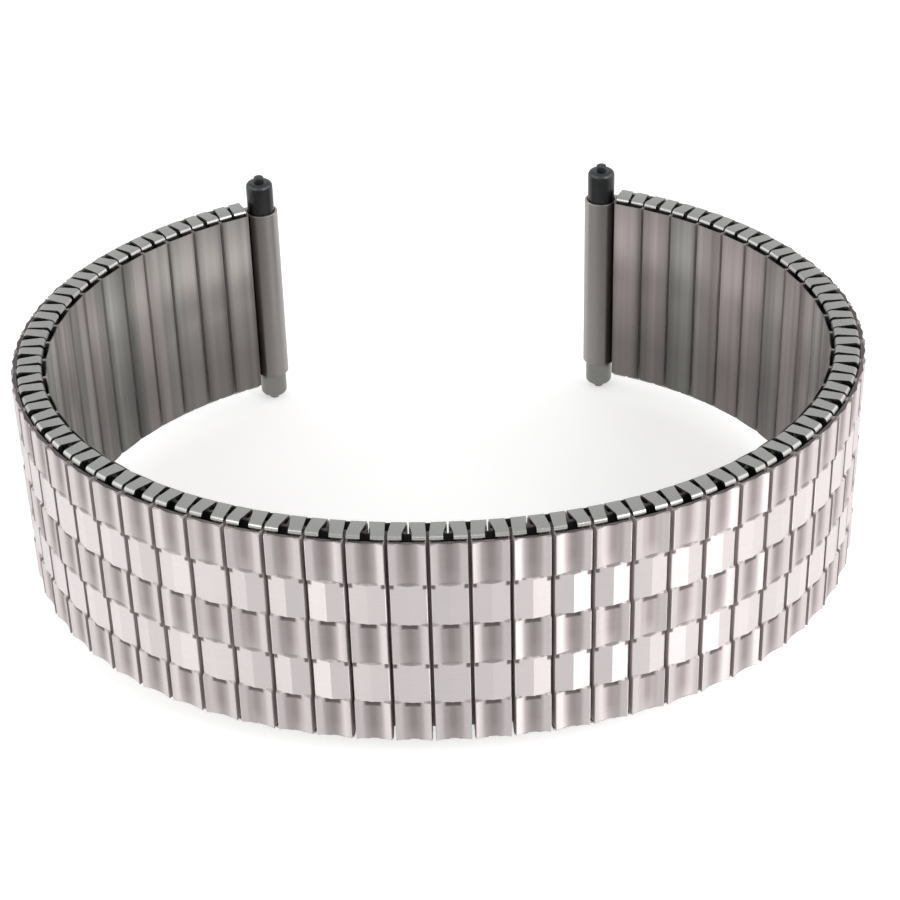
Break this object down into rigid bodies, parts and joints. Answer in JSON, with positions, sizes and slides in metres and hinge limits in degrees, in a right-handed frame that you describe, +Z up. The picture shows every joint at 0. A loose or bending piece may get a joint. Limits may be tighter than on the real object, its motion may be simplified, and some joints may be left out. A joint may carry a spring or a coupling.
{
  "type": "expansion watch band",
  "caption": "Open C of spring-linked metal sleeves that stretches and bends, with patterned outer caps, plain inner links and telescopic spring-bar ends.",
  "frame": {"origin": "centre of the band's outline seen from above, on the plane of the lower nibs' ends", "axes": "+X to the wearer's right of the front, the closed front of the C faces -Y, the open ends face +Y, +Z up along the band's width"},
  "size_m": [0.07, 0.0574, 0.0234],
  "materials": {
    "cap_steel": "brushed",
    "sleeve_steel": "brushed",
    "bow_steel": "bright",
    "spring_steel": "plain",
    "end_steel": "satin",
    "tip_steel": "dark satin"
  },
  "bodies": {
    "front": {"outer_caps_front": "cap_steel", "sleeves_front": "sleeve_steel", "bows_front": "bow_steel", "leaf_springs_front": "spring_steel"},
    "junction_right_1": {"junction_sleeve_right_1": "sleeve_steel", "junction_spring_right_1": "spring_steel"},
    "tilting_bows_right_1": {"tilting_bows_right_1": "bow_steel"},
    "segment_right_1": {"outer_caps_right_1": "cap_steel", "sleeves_right_1": "sleeve_steel", "bows_right_1": "bow_steel", "leaf_springs_right_1": "spring_steel"},
    "junction_right_2": {"junction_sleeve_right_2": "sleeve_steel", "junction_spring_right_2": "spring_steel"},
    "tilting_bows_right_2": {"tilting_bows_right_2": "bow_steel"},
    "segment_right_2": {"outer_caps_right_2": "cap_steel", "sleeves_right_2": "sleeve_steel", "bows_right_2": "bow_steel", "leaf_springs_right_2": "spring_steel"},
    "junction_right_3": {"junction_sleeve_right_3": "sleeve_steel", "junction_spring_right_3": "spring_steel"},
    "tilting_bows_right_3": {"tilting_bows_right_3": "bow_steel"},
    "segment_right_3": {"outer_caps_right_3": "cap_steel", "sleeves_right_3": "sleeve_steel", "bows_right_3": "bow_steel", "leaf_springs_right_3": "spring_steel"},
    "end_right": {"end_link_right": "end_steel", "end_leaf_spring_right": "spring_steel", "coil_spring_right": "spring_steel"},
    "upper_tip_right": {"upper_tip_right": "tip_steel"},
    "lower_tip_right": {"lower_tip_right": "tip_steel"},
    "junction_left_1": {"junction_sleeve_left_1": "sleeve_steel", "junction_spring_left_1": "spring_steel"},
    "tilting_bows_left_1": {"tilting_bows_left_1": "bow_steel"},
    "segment_left_1": {"outer_caps_left_1": "cap_steel", "sleeves_left_1": "sleeve_steel", "bows_left_1": "bow_steel", "leaf_springs_left_1": "spring_steel"},
    "junction_left_2": {"junction_sleeve_left_2": "sleeve_steel", "junction_spring_left_2": "spring_steel"},
    "tilting_bows_left_2": {"tilting_bows_left_2": "bow_steel"},
    "segment_left_2": {"outer_caps_left_2": "cap_steel", "sleeves_left_2": "sleeve_steel", "bows_left_2": "bow_steel", "leaf_springs_left_2": "spring_steel"},
    "junction_left_3": {"junction_sleeve_left_3": "sleeve_steel", "junction_spring_left_3": "spring_steel"},
    "tilting_bows_left_3": {"tilting_bows_left_3": "bow_steel"},
    "segment_left_3": {"outer_caps_left_3": "cap_steel", "sleeves_left_3": "sleeve_steel", "bows_left_3": "bow_steel", "leaf_springs_left_3": "spring_steel"},
    "end_left": {"end_link_left": "end_steel", "end_leaf_spring_left": "spring_steel", "coil_spring_left": "spring_steel"},
    "upper_tip_left": {"upper_tip_left": "tip_steel"},
    "lower_tip_left": {"lower_tip_left": "tip_steel"}
  },
  "joints": [
    {"name": "stretch_right_1", "type": "slide", "parent": "front", "child": "junction_right_1", "axis": [0.9743, 0.2254, 0], "range_m": [0, 0.00118], "stiffness_N_per_m": 500, "springref_m": -0.0006, "deforming": ["junction_spring_right_1"]},
    {"name": "bow_tilt_right_1", "type": "hinge", "parent": "front", "child": "tilting_bows_right_1", "pos_m": [0.01005, -0.02704, 0.01145], "axis": [0, 0, -1], "range_deg": [0, 35.5], "deforming": ["leaf_springs_front"]},
    {"name": "flex_right_1", "type": "hinge", "parent": "junction_right_1", "child": "segment_right_1", "pos_m": [0.01136, -0.02473, 0.01145], "axis": [0, 0, 1], "range_deg": [-5, 8], "stiffness_Nm_per_rad": 0.004},
    {"name": "stretch_right_2", "type": "slide", "parent": "segment_right_1", "child": "junction_right_2", "axis": [0.5608, 0.8279, 0], "range_m": [0, 0.00118], "stiffness_N_per_m": 500, "springref_m": -0.0006, "deforming": ["junction_spring_right_2"]},
    {"name": "bow_tilt_right_2", "type": "hinge", "parent": "segment_right_1", "child": "tilting_bows_right_2", "pos_m": [0.0299, -0.01365, 0.01145], "axis": [0, 0, -1], "range_deg": [0, 35.5], "deforming": ["leaf_springs_right_1"]},
    {"name": "flex_right_2", "type": "hinge", "parent": "junction_right_2", "child": "segment_right_2", "pos_m": [0.02927, -0.01105, 0.01145], "axis": [0, 0, 1], "range_deg": [-5, 8], "stiffness_Nm_per_rad": 0.004},
    {"name": "stretch_right_3", "type": "slide", "parent": "segment_right_2", "child": "junction_right_3", "axis": [-0.3091, 0.951, 0], "range_m": [0, 0.00118], "stiffness_N_per_m": 500, "springref_m": -0.0006, "deforming": ["junction_spring_right_3"]},
    {"name": "bow_tilt_right_3", "type": "hinge", "parent": "segment_right_2", "child": "tilting_bows_right_3", "pos_m": [0.03306, 0.01019, 0.01145], "axis": [0, 0, -1], "range_deg": [0, 35.5], "deforming": ["leaf_springs_right_2"]},
    {"name": "flex_right_3", "type": "hinge", "parent": "junction_right_3", "child": "segment_right_3", "pos_m": [0.03061, 0.0113, 0.01145], "axis": [0, 0, 1], "range_deg": [-5, 8], "stiffness_Nm_per_rad": 0.004},
    {"name": "end_pivot_right", "type": "hinge", "parent": "segment_right_3", "child": "end_right", "pos_m": [0.01829, 0.0268, 0.01145], "axis": [0, 0, 1], "range_deg": [-10, 10], "stiffness_Nm_per_rad": 0.003, "deforming": ["end_leaf_spring_right"]},
    {"name": "upper_tip_slide_right", "type": "slide", "parent": "end_right", "child": "upper_tip_right", "axis": [0, 0, 1], "range_m": [-0.0025, 0], "stiffness_N_per_m": 350, "springref_m": 0.004, "deforming": ["coil_spring_right"]},
    {"name": "lower_tip_slide_right", "type": "slide", "parent": "end_right", "child": "lower_tip_right", "axis": [0, 0, -1], "range_m": [-0.0021, 0], "stiffness_N_per_m": 350, "springref_m": 0.004, "deforming": ["coil_spring_right"]},
    {"name": "stretch_left_1", "type": "slide", "parent": "front", "child": "junction_left_1", "axis": [-0.9743, 0.2254, 0], "range_m": [0, 0.00118], "stiffness_N_per_m": 500, "springref_m": -0.0006, "deforming": ["junction_spring_left_1"]},
    {"name": "bow_tilt_left_1", "type": "hinge", "parent": "front", "child": "tilting_bows_left_1", "pos_m": [-0.01005, -0.02704, 0.01145], "axis": [0, 0, 1], "range_deg": [0, 35.5], "deforming": ["leaf_springs_front"]},
    {"name": "flex_left_1", "type": "hinge", "parent": "junction_left_1", "child": "segment_left_1", "pos_m": [-0.01136, -0.02473, 0.01145], "axis": [0, 0, -1], "range_deg": [-5, 8], "stiffness_Nm_per_rad": 0.004},
    {"name": "stretch_left_2", "type": "slide", "parent": "segment_left_1", "child": "junction_left_2", "axis": [-0.5608, 0.8279, 0], "range_m": [0, 0.00118], "stiffness_N_per_m": 500, "springref_m": -0.0006, "deforming": ["junction_spring_left_2"]},
    {"name": "bow_tilt_left_2", "type": "hinge", "parent": "segment_left_1", "child": "tilting_bows_left_2", "pos_m": [-0.0299, -0.01365, 0.01145], "axis": [0, 0, 1], "range_deg": [0, 35.5], "deforming": ["leaf_springs_left_1"]},
    {"name": "flex_left_2", "type": "hinge", "parent": "junction_left_2", "child": "segment_left_2", "pos_m": [-0.02927, -0.01105, 0.01145], "axis": [0, 0, -1], "range_deg": [-5, 8], "stiffness_Nm_per_rad": 0.004},
    {"name": "stretch_left_3", "type": "slide", "parent": "segment_left_2", "child": "junction_left_3", "axis": [0.3091, 0.951, 0], "range_m": [0, 0.00118], "stiffness_N_per_m": 500, "springref_m": -0.0006, "deforming": ["junction_spring_left_3"]},
    {"name": "bow_tilt_left_3", "type": "hinge", "parent": "segment_left_2", "child": "tilting_bows_left_3", "pos_m": [-0.03306, 0.01019, 0.01145], "axis": [0, 0, 1], "range_deg": [0, 35.5], "deforming": ["leaf_springs_left_2"]},
    {"name": "flex_left_3", "type": "hinge", "parent": "junction_left_3", "child": "segment_left_3", "pos_m": [-0.03061, 0.0113, 0.01145], "axis": [0, 0, -1], "range_deg": [-5, 8], "stiffness_Nm_per_rad": 0.004},
    {"name": "end_pivot_left", "type": "hinge", "parent": "segment_left_3", "child": "end_left", "pos_m": [-0.01829, 0.0268, 0.01145], "axis": [0, 0, -1], "range_deg": [-10, 10], "stiffness_Nm_per_rad": 0.003, "deforming": ["end_leaf_spring_left"]},
    {"name": "upper_tip_slide_left", "type": "slide", "parent": "end_left", "child": "upper_tip_left", "axis": [0, 0, 1], "range_m": [-0.0025, 0], "stiffness_N_per_m": 350, "springref_m": 0.004, "deforming": ["coil_spring_left"]},
    {"name": "lower_tip_slide_left", "type": "slide", "parent": "end_left", "child": "lower_tip_left", "axis": [0, 0, -1], "range_m": [-0.0021, 0], "stiffness_N_per_m": 350, "springref_m": 0.004, "deforming": ["coil_spring_left"]}
  ],
  "couplings": [
    {"joint": "bow_tilt_right_1", "follows": "stretch_right_1", "rad_per_m": 517.68},
    {"joint": "stretch_right_2", "follows": "stretch_right_1", "ratio": 1},
    {"joint": "bow_tilt_right_2", "follows": "stretch_right_1", "rad_per_m": 517.68},
    {"joint": "flex_right_2", "follows": "flex_right_1", "ratio": 1},
    {"joint": "stretch_right_3", "follows": "stretch_right_1", "ratio": 1},
    {"joint": "bow_tilt_right_3", "follows": "stretch_right_1", "rad_per_m": 517.68},
    {"joint": "flex_right_3", "follows": "flex_right_1", "ratio": 1},
    {"joint": "stretch_left_1", "follows": "stretch_right_1", "ratio": 1},
    {"joint": "bow_tilt_left_1", "follows": "stretch_right_1", "rad_per_m": 517.68},
    {"joint": "stretch_left_2", "follows": "stretch_right_1", "ratio": 1},
    {"joint": "bow_tilt_left_2", "follows": "stretch_right_1", "rad_per_m": 517.68},
    {"joint": "flex_left_2", "follows": "flex_left_1", "ratio": 1},
    {"joint": "stretch_left_3", "follows": "stretch_right_1", "ratio": 1},
    {"joint": "bow_tilt_left_3", "follows": "stretch_right_1", "rad_per_m": 517.68},
    {"joint": "flex_left_3", "follows": "flex_left_1", "ratio": 1}
  ]
}
